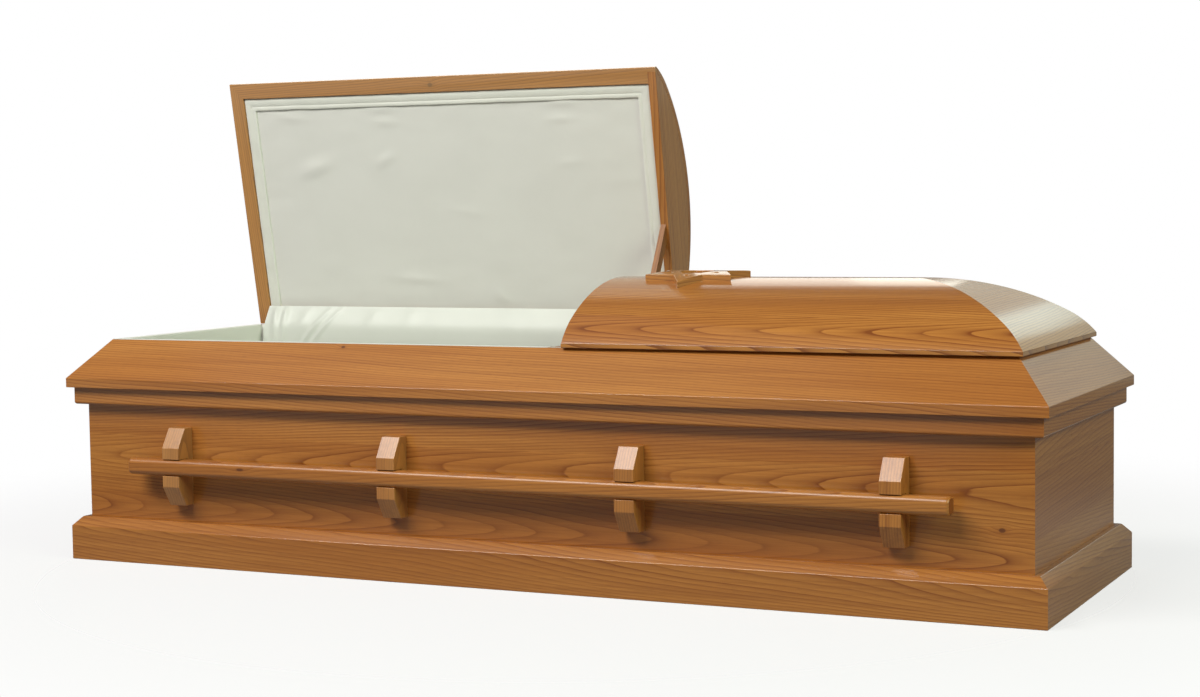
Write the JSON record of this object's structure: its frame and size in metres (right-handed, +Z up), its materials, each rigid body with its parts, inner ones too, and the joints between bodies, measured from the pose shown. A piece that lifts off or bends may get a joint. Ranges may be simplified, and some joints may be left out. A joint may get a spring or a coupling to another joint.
{
  "type": "half-couch wooden casket",
  "caption": "Wooden casket with a sloping rim, bar handles, a fixed foot lid with a pierced star on it, and a lined head lid held open by a folding prop.",
  "frame": {"origin": "centre of the casket's underside", "axes": "+X along the casket towards the foot end, -Y the front, +Z up"},
  "size_m": [2.105, 0.728, 1.0257],
  "materials": {
    "oak_case": "satin lacquer",
    "oak_lid": "satin lacquer",
    "oak_handle": "satin lacquer",
    "oak_inside": "bare",
    "lining_cloth": "plain weave",
    "satin_cloth": "satin weave",
    "brass_hinge": "satin"
  },
  "bodies": {
    "case": {"band_back": "oak_case", "band_foot": "oak_case", "band_front": "oak_case", "band_head": "oak_case", "base_back": "oak_case", "base_foot": "oak_case", "base_front": "oak_case", "base_head": "oak_case", "bracket_back_1": "oak_handle", "bracket_back_2": "oak_handle", "bracket_back_3": "oak_handle", "bracket_back_4": "oak_handle", "bracket_front_1": "oak_handle", "bracket_front_2": "oak_handle", "bracket_front_3": "oak_handle", "bracket_front_4": "oak_handle", "bridge": "oak_inside", "floor_board": "oak_inside", "foot_lid_crown": "oak_lid", "foot_lid_end_board": "oak_lid", "foot_lid_hip": "oak_lid", "foot_lid_lining": "lining_cloth", "foot_lid_rail_back": "oak_lid", "foot_lid_rail_end": "oak_lid", "foot_lid_rail_front": "oak_lid", "handle_bar_back": "oak_handle", "handle_bar_front": "oak_handle", "hinge_leaf_fixed_head": "brass_hinge", "hinge_leaf_fixed_split": "brass_hinge", "hinge_pin_head": "brass_hinge", "hinge_pin_split": "brass_hinge", "lid_apron": "satin_cloth", "lining_back": "lining_cloth", "lining_floor": "lining_cloth", "lining_foot": "lining_cloth", "lining_front": "lining_cloth", "lining_head": "lining_cloth", "prop_pin": "brass_hinge", "rim_back": "oak_case", "rim_foot": "oak_case", "rim_front": "oak_case", "rim_head": "oak_case", "star": "oak_lid", "wall_back": "oak_case", "wall_foot": "oak_case", "wall_front": "oak_case", "wall_head": "oak_case"},
    "head_lid": {"head_lid_border": "lining_cloth", "head_lid_crown": "oak_lid", "head_lid_end_board": "oak_lid", "head_lid_hip": "oak_lid", "head_lid_lining": "lining_cloth", "head_lid_rail_back": "oak_lid", "head_lid_rail_end": "oak_lid", "head_lid_rail_front": "oak_lid", "hinge_leaf_moving_head": "brass_hinge", "hinge_leaf_moving_split": "brass_hinge"},
    "prop": {"prop": "oak_inside"}
  },
  "joints": [
    {"name": "head_lid_hinge", "type": "hinge", "parent": "case", "child": "head_lid", "pos_m": [-0.45, 0.2835, 0.46645], "axis": [1, 0, 0], "range_deg": [0, 79.6], "deforming": ["lid_apron"]},
    {"name": "prop_fold", "type": "hinge", "parent": "case", "child": "prop", "pos_m": [0.078, 0.1228, 0.452], "axis": [1, 0, 0], "range_deg": [0, 118.6]}
  ],
  "couplings": [
    {"joint": "prop_fold", "follows": "head_lid_hinge", "ratio": 1.4874}
  ]
}
